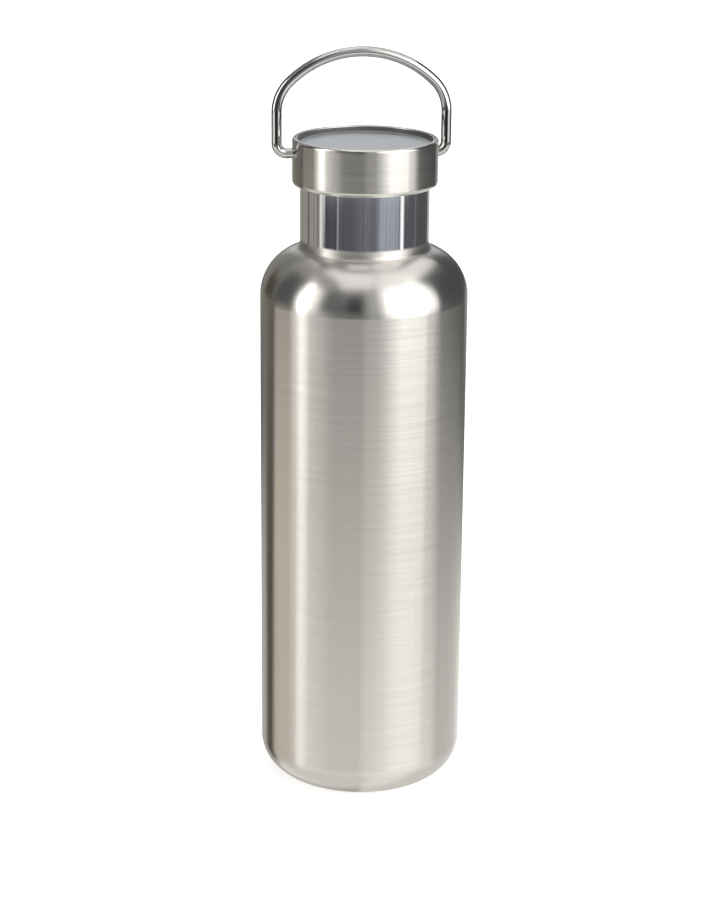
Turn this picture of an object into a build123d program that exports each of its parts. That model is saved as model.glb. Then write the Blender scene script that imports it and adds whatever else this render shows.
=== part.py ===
from build123d import *
from math import acos, degrees, sqrt
import os

# Vacuum drinking bottle of stainless steel, with a screw cap and a wire bail.
# All sizes are in millimetres. The origin is the middle of the foot's resting plane, +Z is up,
# and the bail swings about an axis along X.

# ---- outer wall
body_radius = 36.5          # outside of the straight body
shoulder_z = 180.0          # where the straight body ends and the shoulder begins
shoulder_radius = 17.3      # round of the shoulder, in section
neck_radius = 22.5          # outside of the neck
neck_fillet = 1.6           # hollow fillet at the foot of the neck
lip_z = 222.0               # top of the mouth
lip_edge = 0.3              # rounded outer edge of the mouth
outer_wall = 0.45           # sheet of the outer shell and of its bottom
base_corner = 12.3          # round between the wall and the foot, in section
bottom_seam_z = 14.0        # weld between the outer shell and its bottom

# ---- bottom
recess_radius = 22.0        # hollow under the foot
recess_depth = 3.0
foot_edge = 0.9             # round at the inner edge of the foot
roof_edge = 0.3             # round at the edge of the recess's roof
cover_sheet = 0.4           # base cover, a pressed disc
cover_inset = 1.2           # face of the cover above the foot
port_radius = 1.0           # hole through which the air is drawn out
bead_radius = 3.0           # sealing bead over that hole
bead_height = 0.8
bead_gap = 0.05             # between the bead's stem and the hole

# ---- inner liner
wall_space = 2.9            # vacuum space between the two walls of the body
neck_space = 0.9            # vacuum space in the neck
bottom_space = 3.4          # vacuum space at the bottom
liner_wall = 0.4
liner_corner = 10.0         # round of the liner's bottom, in section
liner_seam_rise = 15.0      # weld above the liner's lowest face
lip_thickness = 1.0         # flange that closes the mouth
getter_radius = 3.5         # pellet that keeps the vacuum
getter_height = 2.0
getter_offset = 12.0        # from the bottle's axis
clip_sheet = 0.3
clip_width = 3.0
clip_foot = 2.5             # length of each foot of the clip
clip_gap = 0.1

# ---- screw thread, right-handed
thread_pitch = 5.0
thread_turns = 1.5
thread_base = 2.0           # axial width at the root of a ridge
thread_crest = 1.0          # axial width at the crest
neck_ridge = 1.1            # how far the neck's ridge stands in
plug_ridge = 1.2            # how far the plug's ridge stands out
thread_side_gap = 0.3       # between a ridge's crest and the wall it faces
thread_flank_gap = 0.3      # between the two ridges' flanks, along the axis
thread_below_lip = 3.6      # upper end of the neck's ridge, at its centre
thread_root_sink = 0.2      # how far a ridge's root is set into its wall

# ---- cap
cap_radius = 25.25
cap_height = 16.3
cap_skirt = 2.9             # how far the cap reaches down past the mouth
cap_sheet = 0.6
cap_lower_edge = 1.6        # round at the lower edge
cap_upper_edge = 1.0        # round at the upper edge
skirt_mouth_gap = 0.8       # between the skirt's turned-in edge and the neck
dish_depth = 2.0            # hollow in the top of the cap
dish_floor_radius = 22.9    # where the lines of the floor and of the wall meet
dish_corner = 1.0           # hollow corner between them
dish_sheet = 0.6
dish_rim_drop = 0.12        # rim of the dish below the cap's top
dish_rim_height = 1.1
dish_rim_width = 0.65       # from the top of the wall to the rim's edge
dish_seat = 0.3             # how far the core reaches in under the rim
dish_rim_round = 0.2
dish_gap = 0.1              # seam between the cap's shell and its dish
core_wall = 2.2
core_flange = 2.0
plug_depth = 14.4           # how far the plug reaches below the mouth
plug_wall = 2.0
plate_sheet = 0.5           # steel plate that closes the plug
plate_rim = 1.5
plate_land = 0.7            # plastic left round the plate
plate_gap = 0.05
foam_gap = 0.1
seal_thickness = 1.5
seal_plug_gap = 0.45        # between the sealing ring and the plug
seal_setback = 0.3          # edge of the ring inside the edge of the mouth
seal_round = 0.3

# ---- bail
wire_radius = 1.75
pivot_height = 5.2          # pivot axis below the cap's top
leg_offset = 29.4           # centre line of each leg from the bail's middle
leg_bend = 3.4              # bend from the pivot pin to the leg, on the centre line
crown_radius = 35.7         # centre line of the arched top
crown_rise = 29.5           # top of the centre line above the cap's top
crown_bend = 14.5           # bend between a leg and the arch, on the centre line
pin_reach = 7.75            # how far a pivot pin goes into the cap when the bail is centred
pin_tip = 0.4
pin_gap = 0.08              # running fit of the pin in the core's socket
hole_gap = 0.3              # round the wire where it enters the cap's shell
socket_wall = 1.1
side_play = 1.6             # room for the bail to slide each way along its pins
side_shift = 1.3            # how far it has slid towards -X
rib_width = 2.0

# ---- places that follow from these sizes
shoulder_center_r = body_radius - shoulder_radius
neck_inner = neck_radius - outer_wall
liner_radius = body_radius - outer_wall - wall_space
liner_shoulder_radius = liner_radius - shoulder_center_r
liner_neck_outer = neck_inner - neck_space
mouth_radius = liner_neck_outer - liner_wall
bottom_inside_z = recess_depth + outer_wall
liner_bottom_z = bottom_inside_z + bottom_space
liner_seam_z = liner_bottom_z + liner_seam_rise

cap_bottom_z = lip_z - cap_skirt
cap_top_z = cap_bottom_z + cap_height
cap_inner = cap_radius - cap_sheet
rim_radius = cap_radius - cap_upper_edge
dish_radius = rim_radius - dish_gap
dish_z = cap_top_z - dish_depth
seal_top_z = lip_z + seal_thickness
core_top_z = dish_z - dish_sheet
rim_top_z = cap_top_z - dish_rim_drop
rim_seat_z = rim_top_z - dish_rim_height
core_floor_z = seal_top_z + core_flange
plug_radius = mouth_radius - thread_side_gap - plug_ridge
plug_bottom_z = lip_z - plug_depth
plug_inner = plug_radius - plug_wall
plate_radius = plug_radius - plate_land

thread_height = thread_pitch * thread_turns
neck_thread_z = lip_z - thread_below_lip - thread_height
flank_width = (thread_base + thread_crest) / 2
plug_thread_z = neck_thread_z - flank_width - thread_flank_gap

pivot_z = cap_top_z - pivot_height
crown_z = cap_top_z + crown_rise
crown_center_z = crown_z - crown_radius
leg_top_z = crown_center_z + sqrt(crown_radius**2 - leg_offset**2)
pin_end = cap_radius - pin_reach

os.makedirs("parts", exist_ok=True)


def shoulder_turn(radius, reached):
    """Angle that a shoulder arc turns through, from the straight wall to the neck."""
    return degrees(acos((reached - shoulder_center_r) / radius))


# The outer shell is one drawn and necked tube: body, rounded shoulder and neck.
with BuildPart() as outer_shell:
    with BuildSketch(Plane.XZ):
        with BuildLine() as outer_face:
            wall = Line((body_radius, bottom_seam_z), (body_radius, shoulder_z))
            arch = JernArc(
                wall @ 1, (0, 1), shoulder_radius, shoulder_turn(shoulder_radius, neck_radius)
            )
            Line(arch @ 1, (neck_radius, lip_z))
            neck_foot = outer_face.vertices().sort_by_distance(arch @ 1)[0]
            fillet(neck_foot, neck_fillet)
            offset(amount=outer_wall, side=Side.LEFT, kind=Kind.ARC)
        make_face()
    revolve(axis=Axis.Z)
    mouth_edge = outer_shell.edges().filter_by(GeomType.CIRCLE).group_by(Axis.Z)[-1]
    fillet(mouth_edge.sort_by(SortBy.RADIUS)[-1], lip_edge)

# The bottom is a pressed cup, welded to the shell, with a raised middle that leaves a foot ring.
with BuildPart() as outer_bottom:
    with BuildSketch(Plane.XZ):
        with BuildLine() as bottom_face:
            Polyline(
                (0, recess_depth),
                (recess_radius, recess_depth),
                (recess_radius, 0),
                (body_radius, 0),
                (body_radius, bottom_seam_z),
            )
            roof_corner = bottom_face.vertices().sort_by_distance((recess_radius, recess_depth))[0]
            fillet(roof_corner, roof_edge)
            foot_corner = bottom_face.vertices().sort_by_distance((recess_radius, 0))[0]
            fillet(foot_corner, foot_edge)
            base_edge = bottom_face.vertices().sort_by_distance((body_radius, 0))[0]
            fillet(base_edge, base_corner)
            offset(amount=outer_wall, side=Side.LEFT, kind=Kind.ARC)
        make_face()
    revolve(axis=Axis.Z)
    with Locations((0, 0, recess_depth)):
        Hole(port_radius)


# The base cover is a thin pressed disc whose upturned rim stands on the roof of the recess.
with BuildPart() as base_cover:
    with BuildSketch(Plane.XZ):
        with BuildLine():
            Polyline(
                (0, cover_inset),
                (recess_radius - roof_edge, cover_inset),
                (recess_radius - roof_edge, recess_depth),
            )
            offset(amount=cover_sheet, side=Side.LEFT, kind=Kind.ARC)
        make_face()
    revolve(axis=Axis.Z)

# A bead of solder glass, melted into the port, keeps the vacuum in.
with BuildPart() as vacuum_seal:
    with BuildSketch(Plane.XZ):
        with BuildLine():
            stem_radius = port_radius - bead_gap
            Line((0, recess_depth - bead_height), (0, bottom_inside_z))
            Line((0, bottom_inside_z), (stem_radius, bottom_inside_z))
            Line((stem_radius, bottom_inside_z), (stem_radius, recess_depth))
            Line((stem_radius, recess_depth), (bead_radius, recess_depth))
            TangentArc(
                (0, recess_depth - bead_height), (bead_radius, recess_depth), tangent=(1, 0)
            )
        make_face()
    revolve(axis=Axis.Z)

# The getter is a sintered pellet that soaks up stray gas in the vacuum space.
with BuildPart() as getter:
    with BuildSketch(Plane.XY.offset(bottom_inside_z)):
        with Locations((0, getter_offset)):
            Circle(getter_radius)
    extrude(amount=getter_height)

# A bent strip holds the getter down, with a foot spot-welded on each side of it.
with BuildPart() as getter_clip:
    leg_x = getter_radius + clip_gap
    top_z = bottom_inside_z + getter_height + clip_gap
    with BuildSketch(Plane.XZ.offset(-getter_offset)):
        with BuildLine():
            Polyline(
                (-leg_x - clip_foot, bottom_inside_z),
                (-leg_x, bottom_inside_z),
                (-leg_x, top_z),
                (leg_x, top_z),
                (leg_x, bottom_inside_z),
                (leg_x + clip_foot, bottom_inside_z),
            )
            offset(amount=clip_sheet, side=Side.LEFT, kind=Kind.INTERSECTION)
        make_face()
    extrude(amount=clip_width / 2, both=True)

# The inner liner is a second drawn tube inside the first. Its mouth turns out to meet the outer
# shell, and a rolled ridge inside its neck is the bottle's half of the screw thread.
with BuildPart() as inner_liner:
    with BuildSketch(Plane.XZ):
        with BuildLine() as liner_face:
            wall = Line((liner_radius, liner_seam_z), (liner_radius, shoulder_z))
            arch = JernArc(
                wall @ 1,
                (0, 1),
                liner_shoulder_radius,
                shoulder_turn(liner_shoulder_radius, liner_neck_outer),
            )
            Line(arch @ 1, (liner_neck_outer, lip_z))
            neck_foot = liner_face.vertices().sort_by_distance(arch @ 1)[0]
            fillet(neck_foot, neck_fillet)
            offset(amount=liner_wall, side=Side.LEFT, kind=Kind.ARC)
        make_face()
    revolve(axis=Axis.Z)
    with BuildSketch(Plane.XY.offset(lip_z)):
        Circle(neck_inner)
        Circle(mouth_radius, mode=Mode.SUBTRACT)
    extrude(amount=-lip_thickness)
    neck_helix = Helix(
        thread_pitch,
        thread_height,
        mouth_radius,
        center=(0, 0, neck_thread_z),
        mode=Mode.PRIVATE,
    )
    with BuildSketch(Plane(origin=neck_helix @ 0, x_dir=(1, 0, 0), z_dir=neck_helix % 0)):
        with BuildLine():
            Polyline(
                (thread_root_sink, -thread_base / 2),
                (0, -thread_base / 2),
                (-neck_ridge, -thread_crest / 2),
                (-neck_ridge, thread_crest / 2),
                (0, thread_base / 2),
                (thread_root_sink, thread_base / 2),
                close=True,
            )
        make_face()
    sweep(path=neck_helix, is_frenet=True)

# The liner's bottom is a drawn cup, welded to the liner a little above its corner.
with BuildPart() as liner_bottom:
    with BuildSketch(Plane.XZ):
        with BuildLine() as cup_face:
            Polyline((0, liner_bottom_z), (liner_radius, liner_bottom_z), (liner_radius, liner_seam_z))
            fillet(cup_face.vertices().sort_by_distance((liner_radius, liner_bottom_z))[0], liner_corner)
            offset(amount=liner_wall, side=Side.LEFT, kind=Kind.ARC)
        make_face()
    revolve(axis=Axis.Z)

# The cap's shell is a drawn steel ring. Its lower edge turns in under the mouth's rim, its upper
# edge turns in to the dish, and it has one hole on each side for the bail's pivot pins.
with BuildPart() as cap_shell:
    with BuildSketch(Plane.XZ):
        with BuildLine() as ring_face:
            Polyline(
                (neck_radius + skirt_mouth_gap, cap_bottom_z),
                (cap_radius, cap_bottom_z),
                (cap_radius, cap_top_z - cap_upper_edge),
            )
            JernArc((cap_radius, cap_top_z - cap_upper_edge), (0, 1), cap_upper_edge, 90)
            skirt_corner = ring_face.vertices().sort_by_distance((cap_radius, cap_bottom_z))[0]
            fillet(skirt_corner, cap_lower_edge)
            offset(amount=cap_sheet, side=Side.LEFT, kind=Kind.ARC)
        make_face()
    revolve(axis=Axis.Z)
    with BuildSketch(Plane.YZ):
        with Locations((0, pivot_z)):
            Circle(wire_radius + hole_gap)
    extrude(amount=cap_radius + cap_sheet, both=True, mode=Mode.SUBTRACT)

# The dish is a pressed disc that closes the top of the cap: a flat floor, a steep wall round it
# and a rim that stands inside the shell's upper edge.
with BuildPart() as cap_dish:
    with BuildSketch(Plane.XZ):
        with BuildLine() as dish_face:
            Polyline(
                (0, dish_z),
                (dish_floor_radius, dish_z),
                (dish_radius - dish_rim_width, rim_top_z),
            )
            floor_corner = dish_face.vertices().sort_by_distance((dish_floor_radius, dish_z))[0]
            fillet(floor_corner, dish_corner)
            offset(amount=dish_sheet, side=Side.RIGHT, kind=Kind.ARC)
        make_face()
        with Locations((dish_radius, rim_top_z)):
            Rectangle(dish_rim_width, dish_rim_height, align=(Align.MAX, Align.MAX))
    revolve(axis=Axis.Z)
    fillet(cap_dish.edges().group_by(Axis.Z)[-1], dish_rim_round)

# The core is moulded in polypropylene. Its head fills the shell, carries the dish's rim on a step
# and holds the bail's sockets. Its flange presses the sealing ring on the mouth, and its hollow
# plug carries the other thread ridge.
with BuildPart() as cap_core:
    head_inner = cap_inner - core_wall
    step_inner = dish_radius - dish_seat
    plate_seat = plate_radius + plate_gap
    with BuildSketch(Plane.XZ):
        with BuildLine():
            Polyline(
                (plug_inner, plug_bottom_z + plate_rim),
                (plate_seat, plug_bottom_z + plate_rim),
                (plate_seat, plug_bottom_z),
                (plug_radius, plug_bottom_z),
                (plug_radius, seal_top_z),
                (cap_inner, seal_top_z),
                (cap_inner, rim_seat_z),
                (step_inner, rim_seat_z),
                (step_inner, core_top_z),
                (head_inner, core_top_z),
                (head_inner, core_floor_z),
                (plug_inner, core_floor_z),
                close=True,
            )
        make_face()
    revolve(axis=Axis.Z)
    socket_radius = wire_radius + pin_gap
    socket_end = pin_end - side_play
    for side in (-1, 1):
        with BuildSketch(Plane.YZ.offset(side * (socket_end - socket_wall))):
            with Locations((0, pivot_z)):
                Circle(socket_radius + socket_wall)
            with Locations((0, core_floor_z)):
                Rectangle(rib_width, pivot_z - core_floor_z, align=(Align.CENTER, Align.MIN))
            with Locations((0, core_top_z)):
                Rectangle(core_wall * 3, core_wall, align=(Align.CENTER, Align.MIN), mode=Mode.SUBTRACT)
        extrude(amount=side * (head_inner + core_wall / 2 - socket_end + socket_wall))
    for side in (-1, 1):
        with BuildSketch(Plane.YZ.offset(side * socket_end)):
            with Locations((0, pivot_z)):
                Circle(socket_radius)
        extrude(amount=side * (cap_radius - socket_end), mode=Mode.SUBTRACT)
    plug_helix = Helix(
        thread_pitch,
        thread_height,
        plug_radius,
        center=(0, 0, plug_thread_z),
        mode=Mode.PRIVATE,
    )
    with BuildSketch(Plane(origin=plug_helix @ 0, x_dir=(1, 0, 0), z_dir=plug_helix % 0)):
        with BuildLine():
            Polyline(
                (-thread_root_sink, -thread_base / 2),
                (0, -thread_base / 2),
                (plug_ridge, -thread_crest / 2),
                (plug_ridge, thread_crest / 2),
                (0, thread_base / 2),
                (-thread_root_sink, thread_base / 2),
                close=True,
            )
        make_face()
    sweep(path=plug_helix, is_frenet=True)

# A pressed steel plate closes the plug, so that the drink touches steel.
with BuildPart() as plug_plate:
    with BuildSketch(Plane.XZ):
        with BuildLine() as plate_face:
            Polyline(
                (0, plug_bottom_z),
                (plate_radius, plug_bottom_z),
                (plate_radius, plug_bottom_z + plate_rim),
            )
            plate_corner = plate_face.vertices().sort_by_distance((plate_radius, plug_bottom_z))[0]
            fillet(plate_corner, plate_sheet + plate_gap)
            offset(amount=plate_sheet, side=Side.LEFT, kind=Kind.ARC)
        make_face()
    revolve(axis=Axis.Z)

# A foam disc fills the plug and slows the heat that leaves through the cap.
with BuildPart() as plug_foam:
    foam_bottom_z = plug_bottom_z + plate_sheet + foam_gap
    foam_height = core_floor_z - foam_gap - foam_bottom_z
    with BuildSketch(Plane.XY.offset(foam_bottom_z)):
        Circle(plug_inner - foam_gap)
    extrude(amount=foam_height)

# The silicone sealing ring lies flat between the cap's flange and the mouth.
with BuildPart() as sealing_ring:
    with BuildSketch(Plane.XY.offset(lip_z)):
        Circle(neck_radius - seal_setback)
        Circle(plug_radius + seal_plug_gap, mode=Mode.SUBTRACT)
    extrude(amount=seal_thickness)
    fillet(sealing_ring.edges().filter_by(GeomType.CIRCLE), seal_round)

# The bail is one bent wire: two pivot pins, two upright legs and an arched top. It has slid a
# little to one side in its sockets, as a loose wire does.
with BuildPart() as bail:
    with BuildLine(Plane.XZ.move(Location((-side_shift, 0, 0)))) as bail_line:
        pin = Line((pin_end, pivot_z), (leg_offset, pivot_z))
        leg = Line(pin @ 1, (leg_offset, leg_top_z))
        crown = ThreePointArc(leg @ 1, (0, crown_z), (-leg_offset, leg_top_z))
        far_leg = Line(crown @ 1, (-leg_offset, pivot_z))
        Line(far_leg @ 1, (-pin_end, pivot_z))
        elbows = bail_line.vertices().filter_by(lambda v: abs(v.X) > pin_end + wire_radius)
        fillet(elbows.group_by(Axis.Z)[0], leg_bend)
        elbows = bail_line.vertices().filter_by(lambda v: v.Z > leg_top_z - wire_radius)
        fillet(elbows, crown_bend)
    with BuildSketch(Plane.YZ.offset(pin_end - side_shift)):
        with Locations((0, pivot_z)):
            Circle(wire_radius)
    sweep()
    tips = bail.edges().filter_by(GeomType.CIRCLE).filter_by(lambda e: e.bounding_box().size.X < pin_tip)
    fillet(tips.filter_by(lambda e: abs(e.center().X) < pin_end + side_shift + pin_tip), pin_tip)

pieces = {
    "outer_shell": outer_shell,
    "outer_bottom": outer_bottom,
    "base_cover": base_cover,
    "vacuum_seal": vacuum_seal,
    "getter": getter,
    "getter_clip": getter_clip,
    "inner_liner": inner_liner,
    "liner_bottom": liner_bottom,
    "cap_shell": cap_shell,
    "cap_dish": cap_dish,
    "cap_core": cap_core,
    "plug_plate": plug_plate,
    "plug_foam": plug_foam,
    "sealing_ring": sealing_ring,
    "bail": bail,
}
for name, piece in pieces.items():
    piece.part.label = name
    export_step(piece.part, f"parts/{name}.step")
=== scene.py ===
import math

import bpy
from mathutils import Matrix, Vector


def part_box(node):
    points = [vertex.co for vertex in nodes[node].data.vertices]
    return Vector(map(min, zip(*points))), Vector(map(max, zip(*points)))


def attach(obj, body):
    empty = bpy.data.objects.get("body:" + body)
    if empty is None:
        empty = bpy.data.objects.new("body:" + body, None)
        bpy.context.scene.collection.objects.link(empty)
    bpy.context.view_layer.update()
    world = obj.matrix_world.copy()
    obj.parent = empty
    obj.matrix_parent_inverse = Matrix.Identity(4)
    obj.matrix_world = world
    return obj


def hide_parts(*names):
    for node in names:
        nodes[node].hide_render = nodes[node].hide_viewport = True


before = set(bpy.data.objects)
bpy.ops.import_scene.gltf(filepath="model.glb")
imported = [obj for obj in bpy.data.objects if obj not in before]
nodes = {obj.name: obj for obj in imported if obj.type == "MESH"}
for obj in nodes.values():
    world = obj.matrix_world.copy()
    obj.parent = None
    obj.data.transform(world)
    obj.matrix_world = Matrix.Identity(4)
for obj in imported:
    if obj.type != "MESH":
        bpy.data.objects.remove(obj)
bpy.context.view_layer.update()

# Vacuum bottle: a double-walled steel bottle with a screw cap and a wire bail.
# Metres; the frame's origin is under the foot, +Z is up and the bail's pivots lie along X.
scene = bpy.context.scene

# --- The studio: camera -------------------------------------------------------------------------
# A long lens looks down on the bottle from a little above, from slightly left of its front, so
# that the left end of the bail is the nearer one.
CAMERA_TURN = math.radians(-7.0)
CAMERA_DISTANCE = 0.7957
CAMERA_HEIGHT = 0.3774
CAMERA_TILT = 0.3103
CAMERA_YAW = -0.0011
CAMERA_ROLL = 0.0091
LENS_MM = 93.0

turn = Matrix.Rotation(CAMERA_TURN, 3, "Z")
level = Vector((math.cos(CAMERA_YAW), -math.sin(CAMERA_YAW), 0.0))
ahead = Vector((
    math.sin(CAMERA_YAW) * math.cos(CAMERA_TILT),
    math.cos(CAMERA_YAW) * math.cos(CAMERA_TILT),
    -math.sin(CAMERA_TILT),
))
above = level.cross(ahead)
right = level * math.cos(CAMERA_ROLL) + above * math.sin(CAMERA_ROLL)
up = above * math.cos(CAMERA_ROLL) - level * math.sin(CAMERA_ROLL)

lens = bpy.data.cameras.new("studio_camera")
lens.lens = LENS_MM
lens.sensor_width = 36.0
lens.clip_start = 0.05
lens.clip_end = 50.0
camera = bpy.data.objects.new("studio_camera", lens)
scene.collection.objects.link(camera)
axes = Matrix((turn @ right, turn @ up, turn @ -ahead)).transposed().to_4x4()
spot = turn @ Vector((0.0, -CAMERA_DISTANCE, CAMERA_HEIGHT))
camera.matrix_world = Matrix.Translation(spot) @ axes
scene.camera = camera
scene.view_settings.view_transform = "Standard"


# --- The studio: light --------------------------------------------------------------------------
# The light comes from all round, as in a product tent: a dim room, a white table below, tall
# strip lights left and right and a soft box overhead, with a dim gap between the table and the
# lights. Angles are in degrees, azimuth from the camera's side and positive to its right,
# elevation above the horizon. Later entries lie over earlier ones. The gap_ entries are narrow
# cards that the polished neck mirrors, and the wire_ ones those that the bail's legs mirror.
def tree_of(owner):
    owner.use_nodes = True
    owner.node_tree.nodes.clear()
    return owner.node_tree


def node(tree, kind, inputs=(), **settings):
    """Add a node, set its properties, and link or set its inputs by name or number."""
    made = tree.nodes.new(kind)
    for name, value in settings.items():
        setattr(made, name, value)
    for key, value in dict(inputs).items():
        if isinstance(value, bpy.types.NodeSocket):
            tree.links.new(value, made.inputs[key])
        else:
            made.inputs[key].default_value = value
    return made


def math_node(tree, operation, *values):
    made = node(tree, "ShaderNodeMath", operation=operation)
    for slot_number, value in enumerate(values):
        if isinstance(value, bpy.types.NodeSocket):
            tree.links.new(value, made.inputs[slot_number])
        else:
            made.inputs[slot_number].default_value = value
    return made.outputs[0]


def smooth_step(tree, value, low, high):
    made = node(
        tree,
        "ShaderNodeMapRange",
        {"Value": value, "From Min": low, "From Max": high},
        interpolation_type="SMOOTHSTEP",
    )
    return made.outputs["Result"]


def window_mask(tree, value, low, high, soft):
    """1 between low and high, falling to 0 over a distance soft at each side."""
    rise = smooth_step(tree, value, low - soft, low + soft)
    fall = smooth_step(tree, value, high - soft, high + soft)
    return math_node(tree, "MULTIPLY", rise, math_node(tree, "SUBTRACT", 1.0, fall))


def blend_colour(tree, mask, below, colour, label=""):
    """Lay a colour over another where the mask is 1."""
    mix = node(tree, "ShaderNodeMix", {"Factor": mask}, data_type="RGBA", label=label)
    for key, value in (("A", below), ("B", colour)):
        if isinstance(value, bpy.types.NodeSocket):
            tree.links.new(value, mix.inputs[key])
        else:
            mix.inputs[key].default_value = (*value, 1.0)
    return mix.outputs["Result"]


ROOM = (0.092, 0.096, 0.104)
PANELS = [
    # azimuth from, to, softness, elevation from, to, softness, colour
    ("front_haze", -60, 26, 12, 10, 60, 14, (0.16, 0.16, 0.16)),
    ("camera_side", -18, 18, 5, -6, 32, 4, (0.02, 0.02, 0.02)),
    ("right_haze", 2, 30, 7, -6, 46, 8, (0.52, 0.52, 0.51)),
    ("back_left", -190, -118, 6, -8, 40, 5, (0.24, 0.24, 0.22)),
    ("back_card", -196, -166, 5, 6, 34, 5, (0.68, 0.70, 0.71)),
    ("back_card_too", 166, 196, 5, 6, 34, 5, (0.68, 0.70, 0.71)),
    ("back_right", 108, 160, 6, -24, 34, 3, (0.085, 0.085, 0.085)),
    ("left_glow", -80, -52, 8, -4, 46, 4, (1.60, 1.58, 1.54)),
    ("left_strip", -78, -66, 3, -9, 42, 5, (4.60, 4.54, 4.40)),
    ("right_box", 22, 88, 8, -8, 50, 3, (2.00, 1.99, 1.95)),
    ("right_core", 35, 70, 8, -8, 48, 3, (3.50, 3.48, 3.40)),
    ("table", -190, 190, 1, -95, -20.0, 3, (1.16, 1.14, 1.09)),
    ("table_back_left", -190, -142, 4, -95, -20, 3, (0.55, 0.54, 0.51)),
    ("table_left", -122, -82, 3, -95, -21, 3, (0.64, 0.59, 0.52)),
    ("table_right", 4, 72, 10, -95, -20.5, 3, (1.44, 1.42, 1.36)),
    ("table_near", -122, 190, 6, -95, -34, 7, (0.84, 0.82, 0.78)),
    ("table_near_right", 12, 72, 10, -95, -34, 7, (1.06, 1.05, 1.01)),
    ("table_strip", -77, -64, 3, -22, -15.5, 1, (1.45, 1.42, 1.37)),
    ("table_rim", -58, 18, 8, -21, -15.5, 1, (0.55, 0.54, 0.52)),
    ("table_far_right", 98, 150, 6, -95, -23, 2, (0.82, 0.81, 0.79)),
    ("beige_card", -118, -82, 3, -21, -15, 2, (1.00, 0.89, 0.77)),
    ("brown_flag", -142, -121, 4, -38, 16, 6, (0.085, 0.065, 0.052)),
    ("gap_left_back", -190, -90, 4, -15, -9, 1, (0.28, 0.265, 0.24)),
    ("gap_left_line", -121, -117, 1, -15, -9, 1, (0.10, 0.09, 0.08)),
    ("gap_left_edge", -88, -79, 2, -15, -9, 1, (0.66, 0.64, 0.60)),
    ("gap_left_dark", -75, -51, 2, -15, -9, 1, (0.071, 0.069, 0.082)),
    ("gap_left_thread", -50, -47, 1, -15, -9, 1, (0.31, 0.31, 0.32)),
    ("gap_front", -12, 28, 12, -15, -9, 1, (0.146, 0.150, 0.168)),
    ("gap_right", 24, 63, 5, -15, -9, 1, (0.33, 0.35, 0.395)),
    ("gap_right_line", 66, 74, 2, -15, -9, 1, (0.95, 0.95, 0.95)),
    ("gap_right_thread", 101, 104, 1, -15, -9, 1, (0.20, 0.19, 0.19)),
    ("gap_right_back", 150, 190, 6, -15, -9, 1, (0.45, 0.45, 0.44)),
    ("wire_glow", -84, 84, 3, -11.1, -7.4, 0.5, (1.30, 1.29, 1.27)),
    ("wire_front", -38, 36, 9, -11.1, -7.4, 0.5, (0.02, 0.02, 0.02)),
]
OVERHEAD = [
    # from, to, softness to the camera's right, then towards it, in heights of the soft box
    ("overhead_left", -1.00, -0.30, 0.10, -1.30, 0.72, 0.12, (0.36, 0.355, 0.35)),
    ("overhead", -0.42, 0.16, 0.07, -1.35, 0.76, 0.14, (1.16, 1.15, 1.15)),
    ("overhead_back", -0.16, 0.16, 0.10, -1.40, -0.15, 0.15, (1.50, 1.49, 1.49)),
    ("overhead_right", 0.16, 0.84, 0.06, -1.60, 0.72, 0.12, (1.12, 1.11, 1.10)),
]
OVERHEAD_LOWEST = 20.0
OVERHEAD_FADE = 12.0
LEAST_HEIGHT = 0.05
# The tent's cloth hangs in upright folds, which draw fine upright lines in the steel.
FOLDS_PER_DEGREE = 0.22
FOLD_DEPTH = 0.45
GAP_FOLD_DEPTH = 0.55
GAP_LOW = -16.0
GAP_HIGH = -8.0
GAP_FADE = 1.5
BACKDROP = (1.0, 1.0, 1.0)

world = bpy.data.worlds.new("studio")
scene.world = world
tree = tree_of(world)
direction = node(tree, "ShaderNodeTexCoord").outputs["Generated"]
spun = node(
    tree,
    "ShaderNodeVectorRotate",
    {"Vector": direction, "Angle": -CAMERA_TURN},
    rotation_type="Z_AXIS",
)
parts = node(tree, "ShaderNodeSeparateXYZ", {0: spun.outputs[0]}).outputs
nearer = math_node(tree, "MULTIPLY", parts["Y"], -1.0)
azimuth = math_node(
    tree, "MULTIPLY", math_node(tree, "ARCTAN2", parts["X"], nearer), math.degrees(1.0)
)
elevation = math_node(tree, "MULTIPLY", math_node(tree, "ARCSINE", parts["Z"]), math.degrees(1.0))
light = node(tree, "ShaderNodeRGB").outputs[0]
light.default_value = (*ROOM, 1.0)
for name, left, right_edge, soft, low, high, fade, colour in PANELS:
    mask = math_node(
        tree,
        "MULTIPLY",
        window_mask(tree, azimuth, left, right_edge, soft),
        window_mask(tree, elevation, low, high, fade),
    )
    light = blend_colour(tree, mask, light, colour, name)
height_share = math_node(tree, "MAXIMUM", parts["Z"], LEAST_HEIGHT)
sideways = math_node(tree, "DIVIDE", parts["X"], height_share)
forwards = math_node(tree, "DIVIDE", nearer, height_share)
high_enough = smooth_step(tree, elevation, OVERHEAD_LOWEST, OVERHEAD_LOWEST + OVERHEAD_FADE)
for name, left, right_edge, soft, far, near, fade, colour in OVERHEAD:
    mask = math_node(
        tree,
        "MULTIPLY",
        window_mask(tree, sideways, left, right_edge, soft),
        window_mask(tree, forwards, far, near, fade),
    )
    mask = math_node(tree, "MULTIPLY", mask, high_enough)
    light = blend_colour(tree, mask, light, colour, name)
folds = node(
    tree,
    "ShaderNodeTexNoise",
    {"W": math_node(tree, "MULTIPLY", azimuth, FOLDS_PER_DEGREE), "Scale": 1.0, "Detail": 3.0},
    noise_dimensions="1D",
).outputs["Fac"]
in_gap = window_mask(tree, elevation, GAP_LOW, GAP_HIGH, GAP_FADE)
depth = math_node(tree, "MULTIPLY_ADD", in_gap, GAP_FOLD_DEPTH, FOLD_DEPTH)
level_light = math_node(
    tree, "MULTIPLY_ADD", math_node(tree, "SUBTRACT", folds, 0.5), depth, 1.0
)
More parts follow.
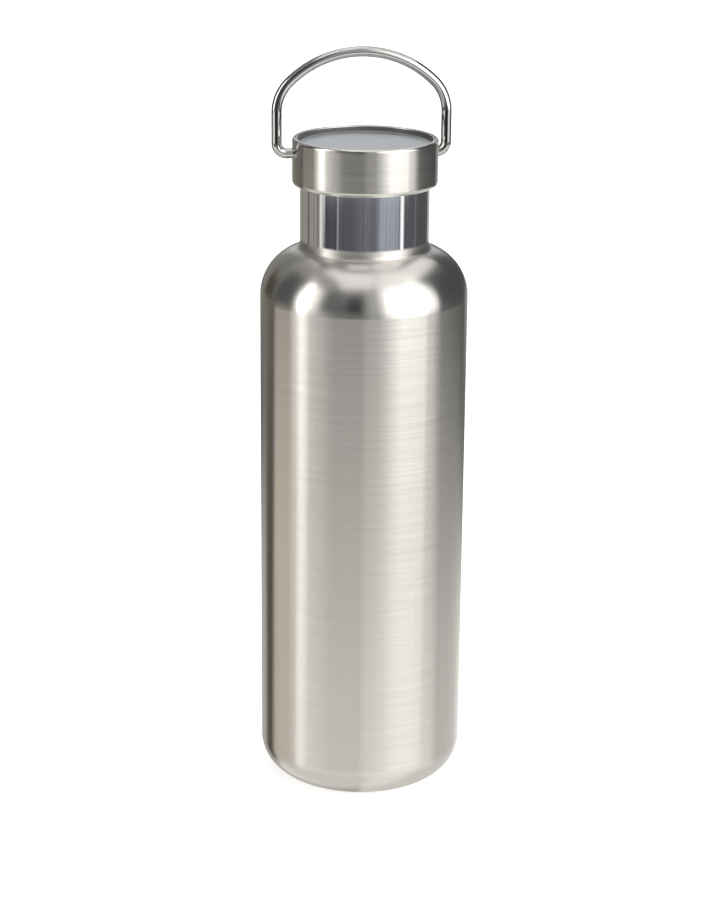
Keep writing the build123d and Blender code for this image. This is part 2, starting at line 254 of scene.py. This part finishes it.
seen = node(tree, "ShaderNodeLightPath").outputs["Is Camera Ray"]
lit = node(tree, "ShaderNodeBackground", {"Color": light, "Strength": level_light})
plain = node(tree, "ShaderNodeBackground")
plain.inputs["Color"].default_value = (*BACKDROP, 1.0)
shown = node(tree, "ShaderNodeMixShader", {0: seen, 1: lit.outputs[0], 2: plain.outputs[0]})
node(tree, "ShaderNodeOutputWorld", {"Surface": shown.outputs[0]})


# --- The studio: floor --------------------------------------------------------------------------
# A plain pale sheet, lit evenly, on which the bottle stands. Its own faint glow keeps it near
# white, and polished steel doesn't mirror it: the table in the light's own description does that.
FLOOR_HALF = 6.0
floor_mesh = bpy.data.meshes.new("studio_floor")
floor_mesh.from_pydata(
    [(x * FLOOR_HALF, y * FLOOR_HALF, 0.0) for x, y in ((-1, -1), (1, -1), (1, 1), (-1, 1))],
    [],
    [(0, 1, 2, 3)],
)
floor = bpy.data.objects.new("studio_floor", floor_mesh)
scene.collection.objects.link(floor)
floor.visible_glossy = False
floor_finish = bpy.data.materials.new("pale_floor")
tree = tree_of(floor_finish)
paper = node(tree, "ShaderNodeBsdfPrincipled", {"Roughness": 0.9})
paper.inputs["Base Color"].default_value = (0.80, 0.80, 0.80, 1.0)
paper.inputs["Emission Color"].default_value = (1.0, 1.0, 1.0, 1.0)
paper.inputs["Emission Strength"].default_value = 0.60
node(tree, "ShaderNodeOutputMaterial", {"Surface": paper.outputs[0]})
floor_mesh.materials.append(floor_finish)


# --- Outer shell and bottom ---------------------------------------------------------------------
# Drawn stainless tube with a pressed cup welded under it. The body is brushed round with a belt,
# which leaves fine level lines, and the neck above the shoulder is left polished. The round at
# the neck's foot, which the belt can't reach well, is duller than both.
def principled(tree, metallic=0.0, **uniform):
    """A Principled node with its uniform values set on it, such as Sheen_Weight=0.2."""
    face = node(tree, "ShaderNodeBsdfPrincipled")
    face.inputs["Metallic"].default_value = metallic
    for name, value in uniform.items():
        face.inputs[name.replace("_", " ")].default_value = value
    return face


def stretched_noise(tree, place, scale, detail=2.0, distortion=0.0):
    """Noise with its own scale along each axis, in cells to the metre."""
    scaled = node(tree, "ShaderNodeMapping", {"Vector": place, "Scale": scale}).outputs[0]
    return node(
        tree,
        "ShaderNodeTexNoise",
        {"Vector": scaled, "Scale": 1.0, "Detail": detail, "Distortion": distortion},
    ).outputs["Fac"]


def about(tree, noise, middle, spread):
    """Turn noise from 0 to 1 into a value spread evenly about a middle."""
    return math_node(tree, "MULTIPLY_ADD", math_node(tree, "SUBTRACT", noise, 0.5), spread, middle)


def tinted(tree, noise, tint, spread):
    """A colour that is a little darker and a little lighter where the noise is low and high."""
    shade = node(
        tree, "ShaderNodeMapRange", {"Value": noise, "From Min": 0.3, "From Max": 0.7}
    ).outputs[0]
    darker = [part * (1.0 - spread) for part in tint]
    lighter = [part * (1.0 + spread) for part in tint]
    return blend_colour(tree, shade, darker, lighter)


def bumped(tree, height, strength, distance):
    bump = node(
        tree, "ShaderNodeBump", {"Height": height, "Strength": strength, "Distance": distance}
    )
    return bump.outputs[0]


def brushed_steel(name, tint, roughness, spread, polished_above=None):
    """Steel with fine level brush lines; above a height it is polished instead."""
    material = bpy.data.materials.new(name)
    tree = tree_of(material)
    place = node(tree, "ShaderNodeTexCoord").outputs["Object"]
    height = node(tree, "ShaderNodeSeparateXYZ", {0: place}).outputs["Z"]
    hair = stretched_noise(tree, place, (70.0, 70.0, 6500.0), 3.0)
    stroke = stretched_noise(tree, place, (24.0, 24.0, 900.0), 3.0)
    cloud = stretched_noise(tree, place, (26.0, 26.0, 26.0))
    grain = math_node(tree, "MULTIPLY_ADD", hair, 0.55, math_node(tree, "MULTIPLY", stroke, 0.45))
    rough = about(tree, grain, roughness, 0.08)
    rough = about(tree, cloud, rough, 0.03)
    if polished_above is not None:
        foot = window_mask(tree, height, polished_above - NECK_FOOT, polished_above, FOOT_FADE)
        rough = math_node(tree, "MULTIPLY_ADD", foot, FOOT_DULLNESS, rough)
    steel = principled(tree, 1.0, Anisotropic=0.85, Anisotropic_Rotation=0.25)
    tree.links.new(tinted(tree, grain, tint, spread), steel.inputs["Base Color"])
    tree.links.new(rough, steel.inputs["Roughness"])
    tree.links.new(bumped(tree, grain, 0.09, 0.00004), steel.inputs["Normal"])
    tangent = node(tree, "ShaderNodeTangent", direction_type="RADIAL", axis="Z")
    tree.links.new(tangent.outputs[0], steel.inputs["Tangent"])
    surface = steel.outputs[0]
    if polished_above is not None:
        mirror = principled(tree, 1.0)
        haze = stretched_noise(tree, place, (60.0, 60.0, 60.0))
        tree.links.new(tinted(tree, haze, NECK_TINT, 0.01), mirror.inputs["Base Color"])
        tree.links.new(about(tree, haze, 0.045, 0.02), mirror.inputs["Roughness"])
        edge = smooth_step(
            tree, height, polished_above - POLISH_EDGE, polished_above + POLISH_EDGE
        )
        blend = node(tree, "ShaderNodeMixShader", {0: edge, 1: surface, 2: mirror.outputs[0]})
        surface = blend.outputs[0]
    node(tree, "ShaderNodeOutputMaterial", {"Surface": surface})
    return material


def finish_node(name, material):
    """Give a piece of the frame its own finish in place of its plain one."""
    mesh = nodes[name].data
    mesh.materials.clear()
    mesh.materials.append(material)


POLISH_HEIGHT = 0.2001
POLISH_EDGE = 0.0006
NECK_FOOT = 0.0032
FOOT_FADE = 0.0007
FOOT_DULLNESS = 0.24
NECK_TINT = (0.88, 0.885, 0.90)
body_steel = brushed_steel(
    "brushed_body_steel", (0.675, 0.656, 0.624), 0.23, 0.05, polished_above=POLISH_HEIGHT
)
finish_node("outer_shell", body_steel)
finish_node("outer_bottom", body_steel)


# --- Base cover ---------------------------------------------------------------------------------
# Thin pressed steel disc that hides the pumping port in the recess under the foot. It keeps the
# faint rings of the press tool and is snapped in by its upturned rim.
def pressed_steel(name, tint, roughness, rings_per_metre, spread):
    """Satin sheet with faint rings about the bottle's axis and a fine grain."""
    material = bpy.data.materials.new(name)
    tree = tree_of(material)
    place = node(tree, "ShaderNodeTexCoord").outputs["Object"]
    flat = node(tree, "ShaderNodeVectorMath", {0: place, 1: (1.0, 1.0, 0.0)}, operation="MULTIPLY")
    radius = node(tree, "ShaderNodeVectorMath", {0: flat.outputs[0]}, operation="LENGTH")
    rings = node(
        tree,
        "ShaderNodeTexNoise",
        {"W": math_node(tree, "MULTIPLY", radius.outputs["Value"], rings_per_metre),
         "Scale": 1.0, "Detail": 3.0},
        noise_dimensions="1D",
    ).outputs["Fac"]
    grain = stretched_noise(tree, place, (2400.0, 2400.0, 2400.0), 3.0)
    cloud = stretched_noise(tree, place, (90.0, 90.0, 90.0))
    mixed = math_node(tree, "MULTIPLY_ADD", rings, 0.5, math_node(tree, "MULTIPLY", grain, 0.5))
    sheet = principled(tree, 1.0)
    tree.links.new(tinted(tree, mixed, tint, spread), sheet.inputs["Base Color"])
    tree.links.new(about(tree, cloud, roughness, 0.06), sheet.inputs["Roughness"])
    tree.links.new(bumped(tree, mixed, 0.08, 0.00002), sheet.inputs["Normal"])
    node(tree, "ShaderNodeOutputMaterial", {"Surface": sheet.outputs[0]})
    return material


finish_node("base_cover", pressed_steel("base_cover_steel", (0.58, 0.57, 0.56), 0.34, 900.0, 0.03))


# --- Vacuum seal --------------------------------------------------------------------------------
# Bead of dark solder glass that was melted into the port in the vacuum furnace, smooth and a
# little wavy, with a few bubbles just under its skin.
def solder_glass():
    material = bpy.data.materials.new("solder_glass")
    tree = tree_of(material)
    place = node(tree, "ShaderNodeTexCoord").outputs["Object"]
    swirl = stretched_noise(tree, place, (500.0, 500.0, 500.0), 3.0, 0.6)
    bubbles = node(
        tree, "ShaderNodeTexVoronoi", {"Vector": place, "Scale": 2600.0}
    ).outputs["Distance"]
    glass = principled(tree, Coat_Weight=0.6, Coat_Roughness=0.04, IOR=1.7)
    tree.links.new(tinted(tree, swirl, (0.075, 0.055, 0.040), 0.35), glass.inputs["Base Color"])
    tree.links.new(about(tree, swirl, 0.12, 0.10), glass.inputs["Roughness"])
    tree.links.new(bumped(tree, bubbles, 0.15, 0.00005), glass.inputs["Normal"])
    node(tree, "ShaderNodeOutputMaterial", {"Surface": glass.outputs[0]})
    return material


finish_node("vacuum_seal", solder_glass())


# --- Getter -------------------------------------------------------------------------------------
# Sintered metal pellet that soaks up stray gas in the vacuum space: dark, dull and grainy, with
# tiny pores between its grains.
def sintered_metal():
    material = bpy.data.materials.new("getter_metal")
    tree = tree_of(material)
    place = node(tree, "ShaderNodeTexCoord").outputs["Object"]
    grains = node(
        tree, "ShaderNodeTexVoronoi", {"Vector": place, "Scale": 4200.0}
    ).outputs["Distance"]
    patch = stretched_noise(tree, place, (700.0, 700.0, 700.0), 4.0)
    pellet = principled(tree, 0.8)
    tree.links.new(tinted(tree, patch, (0.19, 0.19, 0.20), 0.25), pellet.inputs["Base Color"])
    tree.links.new(about(tree, patch, 0.62, 0.2), pellet.inputs["Roughness"])
    tree.links.new(bumped(tree, grains, 0.6, 0.0001), pellet.inputs["Normal"])
    node(tree, "ShaderNodeOutputMaterial", {"Surface": pellet.outputs[0]})
    return material


finish_node("getter", sintered_metal())


# --- Getter clip --------------------------------------------------------------------------------
# Narrow strip of mill-finished steel, bent over the pellet and spot-welded down at both feet,
# where the weld leaves a small round heat stain.
CLIP_ALONG = (0.0048, 0.012)
STAIN_RADIUS = 0.0012


def clip_strip():
    material = bpy.data.materials.new("clip_steel")
    tree = tree_of(material)
    place = node(tree, "ShaderNodeTexCoord").outputs["Object"]
    rolled = stretched_noise(tree, place, (60.0, 3200.0, 3200.0), 3.0)
    split = node(tree, "ShaderNodeSeparateXYZ", {0: place}).outputs
    across = math_node(tree, "SUBTRACT", math_node(tree, "ABSOLUTE", split["X"]), CLIP_ALONG[0])
    along = math_node(tree, "SUBTRACT", split["Y"], CLIP_ALONG[1])
    reach = math_node(
        tree,
        "SQRT",
        math_node(tree, "MULTIPLY_ADD", across, across, math_node(tree, "MULTIPLY", along, along)),
    )
    clean = smooth_step(tree, reach, STAIN_RADIUS * 0.4, STAIN_RADIUS)
    colour = blend_colour(
        tree, clean, (0.30, 0.22, 0.17), tinted(tree, rolled, (0.56, 0.56, 0.56), 0.05)
    )
    strip = principled(tree, 1.0)
    tree.links.new(colour, strip.inputs["Base Color"])
    tree.links.new(about(tree, rolled, 0.36, 0.15), strip.inputs["Roughness"])
    tree.links.new(bumped(tree, rolled, 0.1, 0.00002), strip.inputs["Normal"])
    node(tree, "ShaderNodeOutputMaterial", {"Surface": strip.outputs[0]})
    return material


finish_node("getter_clip", clip_strip())


# --- Inner liner and its bottom -----------------------------------------------------------------
# Second drawn tube and its welded cup, electropolished to an even satin so that drink doesn't
# cling. Faint upright marks are left from drawing, and faint level ones from rolling the thread.
def drawn_steel(name, tint, roughness):
    material = bpy.data.materials.new(name)
    tree = tree_of(material)
    place = node(tree, "ShaderNodeTexCoord").outputs["Object"]
    drawn = stretched_noise(tree, place, (900.0, 900.0, 12.0), 3.0)
    peel = stretched_noise(tree, place, (1500.0, 1500.0, 1500.0))
    mixed = math_node(tree, "MULTIPLY_ADD", drawn, 0.6, math_node(tree, "MULTIPLY", peel, 0.4))
    wall = principled(tree, 1.0)
    tree.links.new(tinted(tree, mixed, tint, 0.03), wall.inputs["Base Color"])
    tree.links.new(about(tree, mixed, roughness, 0.12), wall.inputs["Roughness"])
    tree.links.new(bumped(tree, mixed, 0.08, 0.00003), wall.inputs["Normal"])
    node(tree, "ShaderNodeOutputMaterial", {"Surface": wall.outputs[0]})
    return material


liner_steel = drawn_steel("liner_steel", (0.68, 0.67, 0.65), 0.22)
finish_node("inner_liner", liner_steel)
finish_node("liner_bottom", liner_steel)

# --- Cap ring -----------------------------------------------------------------------------------
# Drawn steel ring, brushed round like the body, with the bail's pins passing through its sides.
# Its lower edge is turned in under the mouth and its upper edge is rolled over to the dish.
cap_steel = brushed_steel("brushed_cap_steel", (0.650, 0.634, 0.604), 0.21, 0.055)
finish_node("cap_shell", cap_steel)

# --- Cap dish -----------------------------------------------------------------------------------
# Pressed disc with a flat floor and a steep wall, blasted to a fine cool satin after pressing and
# set in the ring on a step of the plastic core. The steep wall, up to the rim, is coloured a dull
# dark grey instead of steel.
DISH_WALL = 0.0226
RIM_DEPTH = 0.00025
DISH_RIM_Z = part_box("cap_dish")[1][2] - RIM_DEPTH


def dish_steel():
    """The pressed sheet's own finish, with the steep wall a dull dark grey, not steel."""
    material = pressed_steel("satin_dish_steel", (0.585, 0.600, 0.615), 0.34, 500.0, 0.012)
    tree = material.node_tree
    place = node(tree, "ShaderNodeTexCoord").outputs["Object"]
    parts = node(tree, "ShaderNodeSeparateXYZ", {0: place}).outputs
    level = node(tree, "ShaderNodeCombineXYZ", {"X": parts["X"], "Y": parts["Y"]}).outputs[0]
    radius = node(tree, "ShaderNodeVectorMath", {0: level}, operation="LENGTH").outputs["Value"]
    out_here = smooth_step(tree, radius, DISH_WALL - 0.0002, DISH_WALL + 0.0003)
    below_rim = smooth_step(tree, parts["Z"], DISH_RIM_Z + 0.0001, DISH_RIM_Z - 0.0001)
    speck = stretched_noise(tree, place, (1800.0, 1800.0, 1800.0), 3.0)
    # The steep wall, up to the rim, is coloured a dull dark grey instead of steel.
    dark_wall = principled(tree)
    tree.links.new(tinted(tree, speck, (0.085, 0.087, 0.087), 0.15), dark_wall.inputs["Base Color"])
    tree.links.new(about(tree, speck, 0.50, 0.15), dark_wall.inputs["Roughness"])
    output = next(n for n in tree.nodes if n.bl_idname == "ShaderNodeOutputMaterial")
    sheet = output.inputs["Surface"].links[0].from_socket
    both = node(
        tree,
        "ShaderNodeMixShader",
        {0: math_node(tree, "MULTIPLY", out_here, below_rim), 1: sheet, 2: dark_wall.outputs[0]},
    )
    tree.links.new(both.outputs[0], output.inputs["Surface"])
    return material


finish_node("cap_dish", dish_steel())


# --- Cap core -----------------------------------------------------------------------------------
# Polypropylene moulding: head, flange, hollow plug and thread ridge in one. The tool's fine spark
# finish shows as a soft pebbled sheen.
def moulded_plastic(name, tint, roughness):
    material = bpy.data.materials.new(name)
    tree = tree_of(material)
    place = node(tree, "ShaderNodeTexCoord").outputs["Object"]
    pebble = node(
        tree, "ShaderNodeTexVoronoi", {"Vector": place, "Scale": 3200.0}
    ).outputs["Distance"]
    flow = stretched_noise(tree, place, (120.0, 120.0, 60.0), 3.0, 0.4)
    plastic = principled(tree, IOR=1.49, Specular_IOR_Level=0.5)
    tree.links.new(tinted(tree, flow, tint, 0.12), plastic.inputs["Base Color"])
    tree.links.new(about(tree, flow, roughness, 0.10), plastic.inputs["Roughness"])
    tree.links.new(bumped(tree, pebble, 0.12, 0.00004), plastic.inputs["Normal"])
    node(tree, "ShaderNodeOutputMaterial", {"Surface": plastic.outputs[0]})
    return material


finish_node("cap_core", moulded_plastic("core_plastic", (0.030, 0.030, 0.032), 0.42))

# --- Plug plate ---------------------------------------------------------------------------------
# Pressed steel plate glued into the end of the plug, so that the drink touches steel. Its face
# keeps fine rings from the lathe.
finish_node("plug_plate", pressed_steel("plate_steel", (0.66, 0.65, 0.63), 0.26, 2200.0, 0.04))


# --- Plug foam ----------------------------------------------------------------------------------
# Disc of cream foam cut from a block and dropped into the plug before its plate goes on. The cut
# opens the foam's cells, which show as fine pits.
def cut_foam():
    material = bpy.data.materials.new("foam")
    tree = tree_of(material)
    place = node(tree, "ShaderNodeTexCoord").outputs["Object"]
    cells = node(
        tree, "ShaderNodeTexVoronoi", {"Vector": place, "Scale": 1600.0}
    ).outputs["Distance"]
    tone = stretched_noise(tree, place, (200.0, 200.0, 200.0), 3.0)
    foam = principled(tree, Sheen_Weight=0.25, Subsurface_Weight=0.1)
    foam.inputs["Subsurface Radius"].default_value = (0.002, 0.0016, 0.0012)
    tree.links.new(tinted(tree, tone, (0.80, 0.77, 0.69), 0.05), foam.inputs["Base Color"])
    tree.links.new(about(tree, tone, 0.9, 0.1), foam.inputs["Roughness"])
    tree.links.new(bumped(tree, cells, 0.8, 0.0002), foam.inputs["Normal"])
    node(tree, "ShaderNodeOutputMaterial", {"Surface": foam.outputs[0]})
    return material


finish_node("plug_foam", cut_foam())


# --- Sealing ring -------------------------------------------------------------------------------
# Milky silicone ring, moulded flat and stretched over the plug's neck. Light goes a little way
# into it and its skin is dusty and dull.
def silicone():
    material = bpy.data.materials.new("silicone")
    tree = tree_of(material)
    place = node(tree, "ShaderNodeTexCoord").outputs["Object"]
    skin = stretched_noise(tree, place, (900.0, 900.0, 900.0), 3.0)
    dust = stretched_noise(tree, place, (150.0, 150.0, 150.0), 4.0)
    ring = principled(tree, IOR=1.41, Subsurface_Weight=0.35, Sheen_Weight=0.08)
    ring.inputs["Subsurface Radius"].default_value = (0.003, 0.0028, 0.0025)
    tree.links.new(tinted(tree, dust, (0.74, 0.74, 0.72), 0.04), ring.inputs["Base Color"])
    tree.links.new(about(tree, dust, 0.48, 0.15), ring.inputs["Roughness"])
    tree.links.new(bumped(tree, skin, 0.1, 0.00003), ring.inputs["Normal"])
    node(tree, "ShaderNodeOutputMaterial", {"Surface": ring.outputs[0]})
    return material


finish_node("sealing_ring", silicone())


# --- Bail ---------------------------------------------------------------------------------------
# One length of hard stainless wire, bent cold round four pegs and then tumble-polished. It is
# sprung into the cap, where its two ends turn in the core's sockets.
WIRE_RADIUS = 0.00175
PIN_TIP = 0.0004
LEG_BEND = 0.0034
CROWN_RADIUS = 0.0357
CROWN_BEND = 0.0145
PIN_REACH = 0.0119
RING_SIDES = 48
BEND_STEP = math.radians(2.5)
STRAIGHT_STEP = 0.0012
# Painted shade: the steel's edge tint is set very dark, which draws dark outlines along the wire.
PAINTED_DARK_EDGE_TINT = (0.12, 0.12, 0.12, 1.0)


def bend(centre, radius, start, end):
    """Points and directions round an arc, with angles from +X and in the XZ plane."""
    steps = max(2, round(abs(end - start) / BEND_STEP))
    way = math.copysign(1.0, end - start)
    for step in range(steps + 1):
        angle = start + (end - start) * step / steps
        point = (centre[0] + radius * math.cos(angle), centre[1] + radius * math.sin(angle))
        yield point, (-way * math.sin(angle), way * math.cos(angle))


def straight(start, end):
    """Points and directions along a straight run, without its two ends."""
    run = math.dist(start, end)
    heading = ((end[0] - start[0]) / run, (end[1] - start[1]) / run)
    steps = max(2, round(run / STRAIGHT_STEP))
    for step in range(1, steps):
        share = step / steps
        point = tuple(a + (b - a) * share for a, b in zip(start, end))
        yield point, heading


def bail_half(leg, pivot, top):
    """The centre line of the right-hand half, from the end of its pin to the middle of the top."""
    arch_z = top - CROWN_RADIUS
    blend_x = leg - CROWN_BEND
    blend_z = arch_z + math.sqrt((CROWN_RADIUS - CROWN_BEND) ** 2 - blend_x**2)
    meet = math.atan2(blend_z - arch_z, blend_x)
    pin_end = (leg - PIN_REACH, pivot)
    elbow = (leg - LEG_BEND, pivot)
    yield pin_end, (1.0, 0.0)
    yield from straight(pin_end, elbow)
    yield from bend((elbow[0], pivot + LEG_BEND), LEG_BEND, -math.pi / 2, 0.0)
    yield from straight((leg, pivot + LEG_BEND), (leg, blend_z))
    yield from bend((blend_x, blend_z), CROWN_BEND, 0.0, meet)
    yield from list(bend((0.0, arch_z), CROWN_RADIUS, meet, math.pi / 2))[1:]


def wire_mesh(name, line):
    """A round wire along a line of points and directions, closed by a rounded end at each side."""
    first, last = line[0], line[-1]
    shrunk = [(PIN_TIP, WIRE_RADIUS)]
    for step in range(1, 5):
        angle = math.pi / 2 * step / 4
        shrunk.append((
            PIN_TIP * (1.0 - math.sin(angle)),
            WIRE_RADIUS - PIN_TIP * (1.0 - math.cos(angle)),
        ))
    rings = []
    for inset, radius in reversed(shrunk):
        point = tuple(p + inset * d for p, d in zip(*first))
        rings.append((point, first[1], radius))
    rings += [(point, heading, WIRE_RADIUS) for point, heading in line[1:-1]]
    for inset, radius in shrunk:
        point = tuple(p - inset * d for p, d in zip(*last))
        rings.append((point, last[1], radius))
    corners = []
    for point, heading, radius in rings:
        for side in range(RING_SIDES):
            angle = 2.0 * math.pi * side / RING_SIDES
            out = radius * math.cos(angle)
            corners.append((
                point[0] - heading[1] * out,
                radius * math.sin(angle),
                point[1] + heading[0] * out,
            ))
    faces = []
    for ring in range(len(rings) - 1):
        for side in range(RING_SIDES):
            after = (side + 1) % RING_SIDES
            low, high = ring * RING_SIDES, (ring + 1) * RING_SIDES
            faces.append((low + side, high + side, high + after, low + after))
    faces.append(tuple(range(RING_SIDES)))
    faces.append(tuple(reversed(range((len(rings) - 1) * RING_SIDES, len(rings) * RING_SIDES))))
    mesh = bpy.data.meshes.new(name)
    mesh.from_pydata(corners, [], faces)
    mesh.validate()
    for face in mesh.polygons:
        face.use_smooth = len(face.vertices) == 4
    return mesh


def polished_wire():
    material = bpy.data.materials.new("polished_wire")
    tree = tree_of(material)
    place = node(tree, "ShaderNodeTexCoord").outputs["Object"]
    drawn = stretched_noise(tree, place, (900.0, 900.0, 40.0), 2.0)
    tumbled = stretched_noise(tree, place, (350.0, 350.0, 350.0), 3.0)
    # The very dark edge tint paints shade along the wire's outlines.
    wire = principled(tree, 1.0, Specular_Tint=PAINTED_DARK_EDGE_TINT)
    tree.links.new(tinted(tree, drawn, (0.52, 0.516, 0.510), 0.04), wire.inputs["Base Color"])
    tree.links.new(about(tree, tumbled, 0.06, 0.04), wire.inputs["Roughness"])
    tree.links.new(bumped(tree, tumbled, 0.03, 0.00002), wire.inputs["Normal"])
    node(tree, "ShaderNodeOutputMaterial", {"Surface": wire.outputs[0]})
    return material


bail_low, bail_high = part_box("bail")
bail_middle = (bail_low[0] + bail_high[0]) / 2
leg_offset = (bail_high[0] - bail_low[0]) / 2 - WIRE_RADIUS
half = list(bail_half(leg_offset, bail_low[2] + WIRE_RADIUS, bail_high[2] - WIRE_RADIUS))
mirrored = [((-point[0], point[1]), (heading[0], -heading[1])) for point, heading in half]
whole = half[:-1] + list(reversed(mirrored))
bail_line = [((x + bail_middle, z), heading) for (x, z), heading in whole]
bail = bpy.data.objects.new("bail_wire", wire_mesh("bail_wire", bail_line))
scene.collection.objects.link(bail)
bail.data.materials.append(polished_wire())
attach(bail, "handle")
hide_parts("bail")
